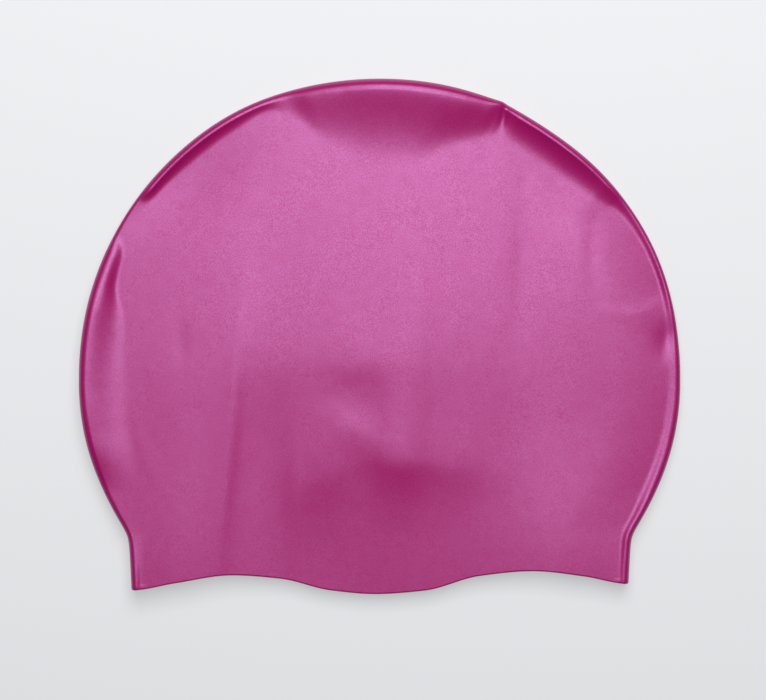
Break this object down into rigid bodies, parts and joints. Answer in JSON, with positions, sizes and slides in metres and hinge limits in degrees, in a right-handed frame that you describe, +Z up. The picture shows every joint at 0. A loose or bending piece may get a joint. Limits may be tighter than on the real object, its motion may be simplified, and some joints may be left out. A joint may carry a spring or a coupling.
{
  "type": "swim cap",
  "caption": "One-piece moulded silicone swim cap with a rounded crown, straight neck bands and a waved hem, lying flat with its mouth open",
  "frame": {"origin": "on the surface that the cap lies on, below the middle of its box", "axes": "+Z up out of the surface, +Y from the mouth to the crown, +X to the right of the lying cap seen from above"},
  "size_m": [0.222, 0.19, 0.0129],
  "materials": {
    "silicone": "satin pearl"
  },
  "bodies": {
    "root": {"cap_shell": "silicone"}
  },
  "joints": []
}
